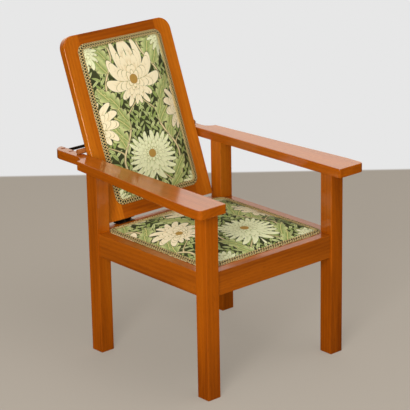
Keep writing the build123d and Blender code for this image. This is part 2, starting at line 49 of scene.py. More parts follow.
class Shade:
    """One output of a finish's nodes. Arithmetic on it adds Math nodes, and over() lays colour on colour."""

    def __init__(self, tree, socket):
        self.tree, self.socket = tree, socket

    def node(self, kind, settings=(), sockets=(), out=0):
        """Adds a node: its settings first, then its sockets' values or links. Gives the output named out."""
        made = self.tree.nodes.new("ShaderNode" + kind)
        for name, value in dict(settings).items():
            setattr(made, name, value)
        for name, value in dict(sockets).items():
            if isinstance(value, Shade):
                self.tree.links.new(value.socket, made.inputs[name])
            else:
                made.inputs[name].default_value = value
        return Shade(self.tree, made.outputs[out])

    def maths(self, operation, first, second=0.0):
        return self.node("Math", {"operation": operation}, {0: first, 1: second})

    def __add__(self, other):
        return self.maths("ADD", self, other)

    def __sub__(self, other):
        return self.maths("SUBTRACT", self, other)

    def __rsub__(self, other):
        return self.maths("SUBTRACT", other, self)

    def __mul__(self, other):
        return self.maths("MULTIPLY", self, other)

    def __abs__(self):
        return self.maths("ABSOLUTE", self)

    __radd__, __rmul__ = __add__, __mul__

    def wave(self, length):
        """A wave from 0 to 1 with this length."""
        return self.maths("SINE", self * (2 * pi / length)) * 0.5 + 0.5

    def rise(self, low, high):
        """0 below low, 1 above high, smooth between."""
        edges = {"Value": self, "From Min": low, "From Max": high}
        return self.node("MapRange", {"interpolation_type": "SMOOTHSTEP"}, edges)

    def fall(self, low, high):
        """1 below low, 0 above high, smooth between."""
        edges = {"Value": self, "From Min": low, "From Max": high, "To Min": 1.0, "To Max": 0.0}
        return self.node("MapRange", {"interpolation_type": "SMOOTHSTEP"}, edges)

    def over(self, under, top):
        """The colour top laid over the colour under where this mask is 1."""
        colours = {0: self, 6: under, 7: top}
        return self.node("Mix", {"data_type": "RGBA"}, colours, 2)

    def stretched(self, x, y, z):
        """These coordinates times x, y and z."""
        return self.node("VectorMath", {"operation": "MULTIPLY"}, {0: self, 1: (x, y, z)})

    def dotted(self, direction):
        """How far this vector goes along a direction."""
        return self.node("VectorMath", {"operation": "DOT_PRODUCT"}, {0: self, 1: direction}, 1)

    def noise(self, scale, detail=2.0, roughness=0.5, distortion=0.0):
        """Noise from 0 to 1 on these coordinates."""
        values = {"Vector": self, "Scale": scale, "Detail": detail, "Roughness": roughness,
                  "Distortion": distortion}
        return self.node("TexNoise", {}, values)

    def split(self):
        """The three numbers of a vector."""
        first = self.node("SeparateXYZ", {}, {0: self})
        outputs = first.socket.node.outputs
        return [Shade(self.tree, outputs[axis]) for axis in range(3)]


def colour(red, green, blue):
    """A colour as the screen shows it, 0 to 255, as the shader's linear values."""
    shown = np.array([red, green, blue]) / 255
    linear = np.where(shown <= 0.04045, shown / 12.92, ((shown + 0.055) / 1.055) ** 2.4)
    return (*linear.tolist(), 1.0)


def new_finish(name):
    """An empty material, its shader, and the coordinates of the piece that wears it."""
    material = bpy.data.materials.new(name)
    material.use_nodes = True
    shader = material.node_tree.nodes["Principled BSDF"]
    own_place = Shade(material.node_tree, None).node("TexCoord", out="Object")
    return material, shader, own_place


def lay(shader, links, values):
    """Links the varying sockets of a finish and sets its constant ones."""
    for name, shade in links.items():
        shade.tree.links.new(shade.socket, shader.inputs[name])
    for name, value in values.items():
        shader.inputs[name].default_value = value


wood_dark, wood_mid, wood_light = colour(118, 52, 4), colour(182, 96, 10), colour(216, 132, 34)
pore_brown, varnish_tint = colour(76, 26, 0), colour(255, 240, 186)
ring_spacing, fine_ring_spacing, ring_bend = 0.0125, 0.0031, 0.05
# painted shade: how high and how strongly the wood is darkened towards the floor
foot_height, painted_floor_shade = 0.24, 0.16


def varnished_wood(name, along, pith, tone, coat=1.0):
    """Rings are waves of the distance from a pith that runs beside the board, bent by slow noise along the
    grain. Broad figure, fine fibres and short pores lie over them. tone is how light the board is, coat
    is how strong its varnish is, and a painted shade darkens the wood towards the floor."""
    material, shader, own_place = new_finish(name)
    turn = Vector((0, 0, 1)).rotation_difference(Vector(along)).to_euler()
    board = own_place.node("Mapping", {"vector_type": "TEXTURE"}, {"Vector": own_place, "Rotation": turn})
    slow = board.stretched(1, 1, 0.16)
    bend = slow.noise(7.0, 2.0)
    across = board.stretched(1, 1, 0)
    away = across.node("VectorMath", {"operation": "DISTANCE"}, {0: across, 1: (*pith, 0)}, 1)
    ring = (away + bend * ring_bend).wave(ring_spacing)
    fine_ring = (away + bend * ring_bend).wave(fine_ring_spacing)
    figure = board.stretched(1, 1, 0.1).noise(17.0, 3.0, 0.55, 0.6)
    fibre = board.stretched(1, 1, 0.03).noise(620.0, 2.0)
    pore = board.stretched(1, 1, 0.07).noise(760.0, 1.0).rise(0.6, 0.72)
    # painted shade: the wood is darkened towards the floor, where less light reaches
    foot = own_place.split()[2].fall(0.0, foot_height) * painted_floor_shade
    depth = figure * 0.7 + ring * 0.08 + fine_ring * 0.06 + fibre * 0.16 + (tone - 0.5) - foot
    body = depth.rise(0.05, 0.6).over(wood_dark, wood_mid)
    body = depth.rise(0.5, 1.05).over(body, wood_light)
    body = (pore * 0.3).over(body, pore_brown)
    gloss = 0.3 + fibre * 0.14 + pore * 0.12
    relief = fibre * 0.4 + fine_ring * 0.25 - pore * 0.8
    bump = relief.node("Bump", {}, {"Strength": 0.12, "Distance": 0.0004, "Height": relief})
    lay(shader, {"Base Color": body, "Roughness": gloss, "Normal": bump},
        {"IOR": 1.5, "Coat Weight": coat, "Coat Roughness": 0.1, "Coat IOR": 1.5,
         "Coat Tint": varnish_tint, "Specular IOR Level": 0.2})
    return material


def dress(finish, *nodes):
    """Gives a finish to nodes of the frame."""
    for node in nodes:
        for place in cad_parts[node].material_slots:
            place.material = finish


upright, lengthwise, sideways = (0, 0, 1), (0, 1, 0), (1, 0, 0)
dress(varnished_wood("post_wood_left", upright, (-0.40, -0.29), 0.5), "front_leg_left", "rear_leg_left")
dress(varnished_wood("post_wood_front_right", upright, (0.38, 0.31), 0.44), "front_leg_right")
# painted light: the rear right post gets a lighter, yellower tone that stands in for window light on it from
# the left
dress(varnished_wood("post_wood_rear_right_painted_light", upright, (0.42, 0.18), 0.66), "rear_leg_right")
side_rail_wood = varnished_wood("side_rail_wood", lengthwise, (0.06, 0.2), 0.43, 0.5)
dress(side_rail_wood, "side_rail_left", "side_rail_right")
dress(varnished_wood("cross_rail_wood", sideways, (0.27, -0.41), 0.44, 0.5), "front_rail", "rear_rail")

# Arms: two broad flat boards, doweled down on the posts, with rounded edges and three blind notches for the
# rod in the inner edge. Same stained wood, the gloss most visible here.
dress(varnished_wood("arm_wood", lengthwise, (0.09, 0.74), 0.52), "arm_left", "arm_right")


def bare_wood(name, along, light, dark):
    """Unvarnished turned or sawn wood: long fibres between two colours, with a dry rough surface."""
    material, shader, own_place = new_finish(name)
    turn = Vector((0, 0, 1)).rotation_difference(Vector(along)).to_euler()
    board = own_place.node("Mapping", {"vector_type": "TEXTURE"}, {"Vector": own_place, "Rotation": turn})
    fibre = board.stretched(1, 1, 0.04).noise(430.0, 3.0)
    figure = board.stretched(1, 1, 0.12).noise(24.0, 3.0)
    body = (fibre * 0.6 + figure * 0.6).rise(0.3, 0.85).over(dark, light)
    bump = fibre.node("Bump", {}, {"Strength": 0.25, "Distance": 0.0005, "Height": fibre})
    lay(shader, {"Base Color": body, "Roughness": 0.5 + fibre * 0.2, "Normal": bump}, {"IOR": 1.45})
    return material


dress(bare_wood("dowel_wood", upright, colour(214, 176, 122), colour(172, 126, 76)), "arm_dowels")

# Support rod and tie rod: the loose rod is turned wood, unvarnished and paler than the frame. The tie rod is
# round steel, blackened, let into both arm tails.
dress(bare_wood("rod_wood", sideways, colour(188, 116, 52), colour(140, 72, 24)), "support_rod")


def steel(name, light, dark, roughness, metal):
    """Cloudy steel: slow noise mixes two colours and varies the roughness, and fine noise is the bump."""
    material, shader, own_place = new_finish(name)
    cloud = own_place.noise(60.0, 4.0, 0.6)
    grain = own_place.noise(1400.0, 2.0)
    bump = grain.node("Bump", {}, {"Strength": 0.2, "Distance": 0.0002, "Height": grain})
    lay(shader, {"Base Color": cloud.rise(0.3, 0.7).over(dark, light),
                 "Roughness": roughness + cloud * 0.18 + grain * 0.06, "Normal": bump}, {"Metallic": metal})
    return material


blackened = steel("blackened_steel", colour(84, 72, 62), colour(48, 40, 35), 0.32, 0.9)
dress(blackened, "tie_rod", "dust_cloth_tacks")

# Hinges: two steel butt hinges between the seat's rear rail and the back's bottom rail, each with a loose
# pin and three slotted screws in each leaf. Dull with age, the screws brighter.
dress(steel("hinge_steel", colour(118, 104, 84), colour(66, 56, 46), 0.34, 1.0),
      "hinge_leaves_lower", "hinge_leaves_upper", "hinge_pins")
dress(steel("screw_steel", colour(196, 188, 172), colour(140, 130, 114), 0.26, 1.0),
      "hinge_screws_lower", "hinge_screws_upper", "corner_block_screws")

# Corner blocks: rough sawn triangles of plain wood, screwed into the inner corners of the seat frame.
dress(bare_wood("block_wood", (1, 1, 0), colour(206, 168, 116), colour(166, 122, 76)), "corner_blocks")

# Webbing and base cloths: jute straps that cross each other, tacked in recesses of the frames, with hessian
# over them to carry the stuffing. They are inside, under the covers.


def jute(name, light, dark, pitch):
    """Plain weave of coarse yarn: two crossed waves multiplied, so the holes between threads stay dark."""
    material, shader, own_place = new_finish(name)
    x, y, z = own_place.split()
    first, second = x.wave(pitch), (y + z).wave(pitch)
    thread = (first * second).rise(0.05, 0.5)
    wear = own_place.noise(90.0, 3.0)
    body = (thread * 0.75 + wear * 0.35).rise(0.2, 0.95).over(dark, light)
    bump = thread.node("Bump", {}, {"Strength": 0.5, "Distance": 0.0006, "Height": thread})
    lay(shader, {"Base Color": body, "Roughness": 0.8 + thread * 0.1, "Normal": bump},
        {"Specular IOR Level": 0.2})
    return material


dress(jute("jute_webbing", colour(190, 158, 108), colour(112, 84, 50), 0.0026),
      "seat_webbing_across", "seat_webbing_lengthwise", "back_webbing_across", "back_webbing_upright")
dress(jute("hessian_cloth", colour(196, 170, 124), colour(96, 74, 44), 0.0017),
      "seat_base_cloth", "back_base_cloth")

# Printed cover cloth: closely woven cotton, screen printed in flat colours with pale open blossoms on
# winding stems over a ground of small narrow leaves, the two halves of each repeat mirrored. Lengths on the
# flat cloth are in millimetres, and unset is a distance well outside every motif.
repeat_half, repeat_height = 164.0, 470.0
unset = 60.0
leaf_columns, leaf_rows, leaf_sway = 6, 38, 7.0
leaf_lean, leaf_length, leaf_width = 42, 30, 4.1
lean_varies, length_varies, width_varies = 12, 6, 0.9
stem_middle, stem_swing, stem_turn = 82.0, 25.0, 95.0
twig_half, stalk_half, stem_half = 0.7, 2.6, 3.4


def turned(x, y, centre, angle):
    """x, y in the axes of a motif at centre whose own y axis is turned angle degrees from the x axis."""
    along_x, along_y = cos(radians(angle)), sin(radians(angle))
    dx, dy = x - centre[0], y - centre[1]
    return dx * along_y - dy * along_x, dx * along_x + dy * along_y


def leaf_shape(across, up, length, width, lobes, bite):
    """Distance outside a pointed leaf: |across| less a half width that swells as a sine from base to tip,
    its edge cut into lobes by a second sine. Past base and tip it is the distance to those points."""
    share = np.clip(up / length, 0, 1)
    swell = width * np.sin(pi * share ** 0.8) ** 0.9
    slanted = np.clip((up - 0.5 * np.abs(across)) / length, 0, 1)
    cut = 1 - bite * (1 - np.abs(np.sin(lobes * pi * slanted))) ** 1.5
    past = np.where(up < 0, -up, np.where(up > length, up - length, 0))
    beside = np.abs(across) - swell * cut
    return np.hypot(np.maximum(beside, 0), past) + np.minimum(beside, 0) * (past == 0)


def blossom_rings(x, y, centre, size, petals, spin, squash, lift):
    """Nested rings of petals. Ring by ring, the rim is size times a share, cut between petals by a power of
    |cos| of the petal angle, and longer on the lifted side. The petals curl, as the angle turns with the
    distance from the heart. Gives the outer rim's distance, the nearest ring's signed distance, the signed
    distance to the nearest petal's side, a shade from 0 at a petal's root to 1 at its tip, and the distance
    to the heart's edge."""
    dx, dy = x - centre[0], (y - centre[1]) * squash
    reach = np.hypot(dx, dy)
    angle = np.arctan2(dx, dy)
    leaning = 1 + lift * np.cos(angle - spin)
    curl = 0.16 * np.sin(2 * angle + spin) + 0.22 * (reach / size) ** 2
    ring_shares, heart_share = (1.0, 0.8, 0.6, 0.42, 0.27), 0.15
    outer = ring = side = shade = None
    for step, share in enumerate(ring_shares):
        count = petals - 2 * step
        phase = (angle + curl) * count / 2 + step * pi / 2 + spin
        uneven = 1 + 0.07 * np.sin(5 * angle + 3 * step + spin) + 0.05 * np.sin(8 * angle - step)
        rim = size * share * leaning * uneven * (0.56 + 0.44 * np.abs(np.cos(phase)) ** 0.8)
        inner = size * (ring_shares + (heart_share,))[step + 1] * leaning * 0.5
        away = (reach - rim) * 0.8
        clefts = reach * np.cos(phase) * 2 / count
        tone = np.clip((reach - inner) / np.maximum(rim - inner, 1), 0, 1)
        if outer is None:
            outer, ring, side, shade = away, away, clefts, tone
        else:
            within = away < 0
            ring = np.where(within, away, np.where(np.abs(away) < np.abs(ring), away, np.abs(ring)))
            side, shade = np.where(within, clefts, side), np.where(within, tone, shade)
    heart = reach - size * heart_share * leaning
    return outer, ring, side, shade, heart


def keep_nearest(near, layers, values):
    """Where the first value is less than its layer's, puts all the values into their layers. near says which
    of the cloth's points the values are for."""
    closer = values[0] < layers[0][near]
    for layer, value in zip(layers, values):
        layer[near] = np.where(closer, value, layer[near])


def small_leaves(x, y):
    """The ground: upright twigs that sway as a sine, with leaves on both sides, their lean, length and width
    varied by sines of the leaf's number. Gives the twigs', the leaves' and their ribs' distances, and a
    shade for each leaf."""
    twig, small, rib = (np.full(x.shape, unset) for _ in range(3))
    shade = np.zeros(x.shape)
    sway_length = repeat_height / 3
    for column in range(-1, leaf_columns + 1):
        middle = (column + 0.5) * repeat_half / leaf_columns
        sway = leaf_sway * np.sin(2 * pi * y / sway_length + column * 2.1)
        twig = np.minimum(twig, np.abs(x - middle - sway) - twig_half)
        for leaf in range(-leaf_rows // 2 - 1, leaf_rows // 2 + 2):
            base_y, number = leaf * repeat_height / leaf_rows, leaf % leaf_rows
            base_x = middle + leaf_sway * sin(2 * pi * base_y / sway_length + column * 2.1)
            side = 1 if leaf % 2 else -1
            lean = 90 - side * (leaf_lean + lean_varies * sin(number * 1.7 + column * 2.2))
            near = (np.abs(x - base_x) < 32) & (np.abs(y - base_y - 8) < 36)
            if not near.any():
                continue
            across, up = turned(x[near], y[near], (base_x, base_y), lean)
            size = leaf_length + length_varies * sin(number * 2.3 + column * 1.3)
            across = across + side * 0.006 * up * (size - up)
            width = leaf_width + width_varies * sin(number * 3.1 + column)
            shape = leaf_shape(across, up, size, width, 0, 0)
            keep_nearest(near, (small, rib, shade), (shape, across, across * 0 + (number * 7) % 5 / 4))
    return twig, small, rib, shade


def stem_place(y):
    """How far the main stem stands from the mirror line at y, as a cosine, and its phase there."""
    phase = 2 * pi * (y - stem_turn) / (repeat_height / 2)
    return stem_middle + stem_swing * np.cos(phase), phase


# Each blossom's x, y, size, petals in the outer ring, spin, squash and lift.
blossoms = ((0, 112, 86, 22, 2.9, 1.0, 0.2), (0, -128, 92, 14, 0.2, 0.9, 0.26),
            (repeat_half, -14, 62, 18, 3.0, 1.04, 0.2), (repeat_half, 213, 74, 14, 0.2, 0.9, 0.26),
            (repeat_half, 213 - repeat_height, 74, 14, 0.2, 0.9, 0.26))
green_blossoms = (0, 2)


def stems(x, y):
    """Distance to the main stem, made square to it by its slope, or to the stalk that bends from it to a
    blossom by the smooth step 3c^2 - 2c^3."""
    main, phase = stem_place(y)
    slope = stem_swing * 2 * pi / (repeat_height / 2) * np.sin(phase)
    stem = np.abs(x - main) / np.hypot(1, slope) - stem_half
    for bloom_x, bloom_y, size, *rest in blossoms:
        root = bloom_y - size * 1.25
        inward, _ = stem_place(root)
        climb = np.clip((y - root) / (size * 0.8), 0, 1)
        path = inward + (bloom_x - inward) * (climb * climb * (3 - 2 * climb))
        off = np.where((y > root) & (y < bloom_y), np.abs(x - path) * 0.8 - stalk_half, unset)
        stem = np.minimum(stem, off)
    return stem


# Each big leaf's place up the main stem, its lean in degrees, its length and the side it grows on.
big_leaf_rows = ((-205, 52, 84, -1), (-188, 128, 76, 1), (-92, 118, 80, 1), (-70, 62, 78, -1),
                 (-12, 132, 70, 1), (22, 48, 82, -1), (142, 62, 78, -1), (160, 122, 80, 1),
                 (196, 44, 66, -1), (-252, 118, 62, 1))
big_leaf_width, big_leaf_lobes, lobe_bite = 23, 3.5, 0.6
side_rib_spacing, side_rib_height = 20.0, 6.4


def big_leaves(x, y):
    """Lobed leaves on the main stem, each bent by a parabola. Gives the leaves' and their middle ribs'
    distances, a wave that is 0 along the side ribs, and a shade from 0 at the middle to 1 at the edge."""
    big, rib, side_rib = (np.full(x.shape, unset) for _ in range(3))
    shade = np.zeros(x.shape)
    for root_y, lean, length, side in big_leaf_rows:
        for wrap in (-repeat_height, 0, repeat_height):
            base_y = root_y + wrap
            base_x, _ = stem_place(base_y)
            near = (np.abs(x - base_x) < 110) & (np.abs(y - base_y - 30) < 110)
            if not near.any():
                continue
            angle = 180 - lean if side > 0 else lean
            across, up = turned(x[near], y[near], (base_x, base_y), angle)
            across = across + side * 0.00308 * (up - length / 2) ** 2 - side * 4
            shape = leaf_shape(across, up, length, big_leaf_width, big_leaf_lobes, lobe_bite)
            slanted = np.abs(across) * 0.9 - up * 0.75
            between = side_rib_height * np.sin(slanted * pi / side_rib_spacing)
            edge = np.clip(np.abs(across) / 18, 0, 1)
            keep_nearest(near, (big, rib, side_rib, shade), (shape, across, between, edge))
    return big, rib, side_rib, shade


def print_on(x, y):
    """The print at places x, y of the flat cloth, in millimetres. x is folded at the mirror lines and y
    wraps at the repeat. Each layer keeps the signed distance to the nearest motif of its kind."""
    x = np.abs((x + repeat_half) % (2 * repeat_half) - repeat_half)
    y = (y + repeat_height / 2) % repeat_height - repeat_height / 2
    twig, small, small_rib, small_tone = small_leaves(x, y)
    big, big_rib, big_side, big_tone = big_leaves(x, y)
    bloom, ring, petal, heart = (np.full(x.shape, unset) for _ in range(4))
    tone, kind, empty = (np.zeros(x.shape) for _ in range(3))
    for number, (bloom_x, bloom_y, size, *form) in enumerate(blossoms):
        near = (np.abs(x - bloom_x) < size * 1.5) & (np.abs(y - bloom_y) < size * 1.8)
        if not near.any():
            continue
        values = blossom_rings(x[near], y[near], (bloom_x, bloom_y), size, *form)
        values = (*values, x[near] * 0 + (number in green_blossoms))
        keep_nearest(near, (bloom, ring, petal, tone, heart, kind), values)
    return {"small_leaf": (small, small_rib, small_tone), "stalk": (twig, stems(x, y), empty),
            "big_leaf": (big, big_rib, big_side), "big_leaf_tone": (big_tone, empty, empty),
            "blossom": (bloom, ring, petal), "blossom_tone": (tone, heart, kind)}


def keep_cloth(mesh, flat_x, flat_y):
    """Stores the print and the cloth's own flat coordinates, in metres, at the mesh's points."""
    layers = dict(print_on(flat_x, flat_y), cloth=(flat_x / 1000, flat_y / 1000, flat_x * 0))
    for name, values in layers.items():
        layer = mesh.attributes.new(name, "FLOAT_VECTOR", "POINT")
        layer.data.foreach_set("vector", np.stack(values, 1).astype(np.float32).ravel())


thread_spacing = 0.0009
olive_line, heart_tan, thread_pale = colour(150, 138, 60), colour(178, 136, 58), colour(226, 216, 178)
dark_outline, stem_outline, bloom_outline = colour(58, 70, 36), colour(66, 74, 36), colour(52, 64, 32)


def printed_cotton():
    """The print's layers from the ground up: each motif's mask is its signed distance near zero, its
    outline a narrow band round zero. The weave is two crossed waves on the cloth's own coordinates."""
    material, shader, own_place = new_finish("printed_cotton")

    def layer(name):
        return own_place.node("Attribute", {"attribute_name": name}, out="Vector").split()

    small, small_rib, small_tone = layer("small_leaf")
    twig, stem, _ = layer("stalk")
    big, big_rib, big_side = layer("big_leaf")
    big_tone, _, _ = layer("big_leaf_tone")
    bloom, ring, petal = layer("blossom")
    tone, heart, kind = layer("blossom_tone")
    cloth = own_place.node("Attribute", {"attribute_name": "cloth"}, out="Vector")
    cloth_x, cloth_y, _ = cloth.split()
    body = cloth.noise(30.0).rise(0.3, 0.7).over(colour(34, 42, 8), colour(52, 60, 18))
    leaf_green = small_tone.over(colour(208, 214, 148), colour(150, 168, 88))
    leaf_green = abs(small_rib).fall(0.2, 0.9).over(leaf_green, colour(106, 118, 46))
    body = twig.fall(-0.3, 0.4).over(body, colour(176, 182, 108))
    body = small.fall(-0.5, 0.3).over(body, leaf_green)
    stem_tan = (stem + stalk_half).rise(0.0, 1.6).over(colour(232, 214, 168), colour(186, 168, 112))
    body = stem.fall(0.9, 1.7).over(body, stem_outline)
    body = stem.fall(-0.4, 0.4).over(body, stem_tan)
    leaf_body = big_tone.over(colour(122, 142, 66), colour(204, 210, 140))
    leaf_body = abs(big_side).fall(0.15, 0.75).over(leaf_body, colour(214, 210, 134))
    leaf_body = abs(big_rib).fall(0.6, 1.5).over(leaf_body, colour(224, 210, 138))
    body = big.fall(1.0, 1.9).over(body, dark_outline)
    body = big.fall(-0.3, 0.4).over(body, colour(204, 192, 132))
    body = big.fall(-1.9, -1.1).over(body, leaf_body)
    pale = kind.over(colour(252, 236, 196), colour(236, 236, 190))
    root = kind.over(colour(228, 200, 140), colour(170, 182, 104))
    petal_body = tone.rise(0.0, 0.7).over(root, pale)
    streak = petal.wave(4.2).rise(0.9, 1.0) * tone.fall(0.3, 0.95)
    petal_body = (streak * 0.3).over(petal_body, olive_line)
    petal_body = (abs(petal).fall(0.2, 0.8) * tone.fall(0.7, 1.0) * 0.8).over(petal_body, olive_line)
    petal_body = (abs(ring).fall(0.4, 1.1) * 0.85).over(petal_body, olive_line)
    petal_body = heart.fall(-0.5, 0.5).over(petal_body, heart_tan)
    body = bloom.fall(1.0, 1.9).over(body, bloom_outline)
    body = bloom.fall(-0.4, 0.4).over(body, petal_body)
    warp, weft = cloth_x.wave(thread_spacing), cloth_y.wave(thread_spacing)
    thread = warp * (1 - weft) + weft * (1 - warp)
    mottle = cloth.noise(900.0, 2.0)
    body = (thread * 0.02 + mottle * 0.04).over(body, thread_pale)
    relief = thread * 0.7 + mottle * 0.5
    bump = relief.node("Bump", {}, {"Strength": 0.3, "Distance": 0.0004, "Height": relief})
    lay(shader, {"Base Color": body, "Roughness": 0.78 + mottle * 0.12, "Normal": bump},
        {"Specular IOR Level": 0.2})
    return material


cotton_print = printed_cotton()

# Seat: hair stuffing built up on the base cloth, under a cover that is drawn down and tacked along the tops
# of the rails. The cover is drawn tight, so it crowns softly and dips a little at each tack.
cover_margin, cover_thickness = 15.0, 1.2
tack_spacing, tack_dip, tack_reach = 24.0, 0.45, 11.0
pad_spacing, held_from, most_push = 5.9, 0.985, 0.012


def rounded(half_x, half_y, corner, s, t):
    """The point of a rounded rectangle's rim on the ray through (s, t): the rim point of the sharp
    rectangle, pushed in radially to the arc where it lies past a corner's centre."""
    most = np.maximum(np.maximum(np.abs(s), np.abs(t)), 1e-9)
    x, y = half_x * s / most, half_y * t / most
    over_x, over_y = np.abs(x) - (half_x - corner), np.abs(y) - (half_y - corner)
    far = np.maximum(np.hypot(over_x, over_y), 1e-9)
    past = (over_x > 0) & (over_y > 0)
    x = np.where(past, np.sign(x) * (half_x - corner + corner * over_x / far), x)
    y = np.where(past, np.sign(y) * (half_y - corner + corner * over_y / far), y)
    return x, y, most


def grid_faces(rows, columns):
    """Quads of a grid whose points are numbered row by row."""
    first = (np.arange(rows - 1)[:, None] * columns + np.arange(columns - 1)[None, :]).ravel()
    return np.stack([first, first + 1, first + columns + 1, first + columns], 1)


def points_of(mesh):
    """The mesh's points as an array."""
    found = np.empty(len(mesh.vertices) * 3)
    mesh.vertices.foreach_get("co", found)
    return found.reshape(-1, 3)


def new_piece(name, points, faces, finish, smooth=True):
    """A piece from points in millimetres and lists of faces, in the scene and wearing its finish."""
    mesh = bpy.data.meshes.new(name)
    mesh.from_pydata((points / 1000).tolist(), [], [list(face) for face in faces])
    mesh.polygons.foreach_set("use_smooth", [smooth] * len(mesh.polygons))
    mesh.materials.append(finish)
    piece = bpy.data.objects.new(name, mesh)
    bpy.context.collection.objects.link(piece)
    return piece


def swell(piece, held, cap, pressure=4, frames=20):
    """The stuffing's push: cloth held at some points, pressed from inside without weight for some frames.
    Then each point is moved by what the cloth moved, at most cap."""
    start = points_of(piece.data)
    group = piece.vertex_groups.new(name="held")
    group.add(held.tolist(), 1.0, "REPLACE")
    cloth = piece.modifiers.new("cloth", "CLOTH")
    cloth.settings.vertex_group_mass = "held"
    cloth.settings.use_pressure = True
    cloth.settings.uniform_pressure_force = pressure
    cloth.settings.effector_weights.gravity = 0
    for step in range(1, frames + 1):
        bpy.context.scene.frame_set(step)
    shown = piece.evaluated_get(bpy.context.evaluated_depsgraph_get())
    moved = points_of(shown.data) - start
    bpy.context.scene.frame_set(1)
    far = np.linalg.norm(moved, axis=1, keepdims=True)
    return start + moved * np.minimum(1, cap / np.maximum(far, 1e-9))


def closed_below(top, rows, columns):
    """A grid's points and faces, with a low skirt round its rim and one flat face under it."""
    index = np.arange(rows * columns).reshape(rows, columns)
    rim = np.concatenate([index[0, :-1], index[:-1, -1], index[-1, :0:-1], index[:0:-1, 0]])
    under, after = len(top) + np.arange(len(rim)), np.roll(np.arange(len(rim)), -1)
    low = top[rim] * [1, 1, 0] + [0, 0, 0.05]
    skirt = np.stack([rim, under, under[after], rim[after]], 1)
    faces = grid_faces(rows, columns).tolist() + skirt.tolist() + [under[::-1].tolist()]
    return np.concatenate([top, low]), faces


def halved(grid):
    """The grid with its steps halved along both ways: old points become (1, 6, 1) / 8 of their row, new
    ones the mean of their neighbours, and the rim stays where it is."""
    for way in range(2):
        grid = np.swapaxes(grid, 0, way)
        finer = np.empty((2 * len(grid) - 1, *grid.shape[1:]))
        finer[1::2] = (grid[:-1] + grid[1:]) / 2
        finer[2:-1:2] = (grid[:-2] + 6 * grid[1:-1] + grid[2:]) / 8
        finer[0], finer[-1] = grid[0], grid[-1]
        grid = np.swapaxes(finer, 0, way)
    return grid


def pad_grid(half_x, half_y, corner, crown):
    """A pad's top in its panel's own axes: a grid whose rings are rounded rectangles. Inside the tacked
    margin the height is 0.9 crown times (1 - ring^2.7)^0.4, a little less towards the corners, and the margin
    is flat. Gives the points, which ring each is on, and the grid's rows and columns."""
    pad_x, pad_y, pad_corner = half_x - cover_margin, half_y - cover_margin, corner - cover_margin
    margin_rings = np.array([1.012, 1.03, 1.06])
    spans = []
    for half in (pad_x, pad_y):
        inner = np.linspace(-1, 1, 2 * int(round(half / pad_spacing)) + 1)
        spans.append(np.concatenate([-margin_rings[::-1], inner, margin_rings]))
    t, s = np.meshgrid(spans[1], spans[0], indexing="ij")
    rows, columns = t.shape
    s, t = s.ravel(), t.ravel()
    x, y, most = rounded(pad_x, pad_y, pad_corner, s, t)
    rim_x, rim_y, _ = rounded(half_x - 0.3, half_y - 0.3, corner, s, t)
    ring = np.minimum(most, 1)
    out = np.clip((most - 1) / (margin_rings[-1] - 1), 0, 1)
    corner_drop = 1 - 0.1 * np.minimum(np.abs(s * t), 1) ** 3
    height = crown * (1 - ring ** 2.7) ** 0.4 * corner_drop
    x, y = ring * x * (1 - out) + rim_x * out, ring * y * (1 - out) + rim_y * out
    return np.stack([x, y, cover_thickness + height * 0.9], 1), most, rows, columns


def cover_waves(points, half_x, half_y):
    """How far a drawn cover stands off its smooth crown: two crossed slow sines, less a dip at each tack,
    which is (1 + cos) along the rim and fades inward as an exponential."""
    beside_x = half_x - cover_margin - np.abs(points[:, 0])
    beside_y = half_y - cover_margin - np.abs(points[:, 1])
    inset = np.minimum(beside_x, beside_y)
    run = np.where(beside_x < beside_y, points[:, 1], points[:, 0])
    fade = np.exp(-np.maximum(inset, 0) / tack_reach)
    dip = tack_dip * fade * (1 + np.cos(2 * pi * run / tack_spacing))
    unevenness = 0.5 * np.sin(points[:, 0] / 41 + 1) * np.sin(points[:, 1] / 53)
    lifted = points[:, 2] > cover_thickness + 0.6
    return (unevenness * np.clip(inset / 40, 0, 1) - dip) * lifted


def tacked_pad(name, half_x, half_y, corner, crown, place, print_shift):
    """A pad: its grid pushed out by the stuffing, scaled to its crown, made four times finer and given the
    cover's waves. Its underside is one flat face. place() moves the points to where the panel stands."""
    top, ring, rows, columns = pad_grid(half_x, half_y, corner, crown)
    blank = new_piece(name + "_blank", *closed_below(top, rows, columns), cotton_print)
    under = np.ones(2 * (rows + columns) - 4)
    held = np.flatnonzero(np.append(ring, under) >= held_from)
    top = swell(blank, held, most_push)[:rows * columns] * 1000
    bpy.data.objects.remove(blank)
    top[:, 2] *= (cover_thickness + crown) / top[:, 2].max()
    grid = halved(halved(top.reshape(rows, columns, 3)))
    rows, columns = grid.shape[:2]
    points, faces = closed_below(grid.reshape(-1, 3), rows, columns)
    points[:, 2] += cover_waves(points, half_x, half_y)
    piece = new_piece(name, place(points), faces, cotton_print)
    keep_cloth(piece.data, points[:, 0] + print_shift[0], points[:, 1] + print_shift[1])
    return piece


seat_low, seat_high = (np.array(corner) * 1000 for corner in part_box("seat_cover"))
seat_x, seat_y, _ = (seat_high - seat_low) / 2
seat_corner, seat_crown = 34.0, 32.8
seat_middle_y, rail_top = (seat_low[1] + seat_high[1]) / 2, seat_low[2]


def on_seat(points):
    """From the seat panel's own axes to the chair's."""
    return points + np.array([0, seat_middle_y, rail_top])


seat_pad = tacked_pad("seat_upholstery", seat_x, seat_y, seat_corner, seat_crown, on_seat, (-24.0, 215.0))
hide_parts("seat_cover", "seat_padding")
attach(seat_pad, "frame")

# Back frame: two stiles with a top and a bottom rail tenoned between them, the outer corners well rounded.
# The grain of the stiles follows the lean of the back.
back_lean = radians(20.6)
up_the_back = (0, sin(back_lean), cos(back_lean))
dress(varnished_wood("stile_wood_left", up_the_back, (0.31, -0.09), 0.73), "back_stile_left")
dress(varnished_wood("stile_wood_right", up_the_back, (0.37, 0.06), 0.68), "back_stile_right")
dress(varnished_wood("top_rail_wood", sideways, (0.9, 0.2), 0.4), "back_top_rail")
dress(varnished_wood("bottom_rail_wood", sideways, (0.5, 0.3), 0.38), "back_bottom_rail")

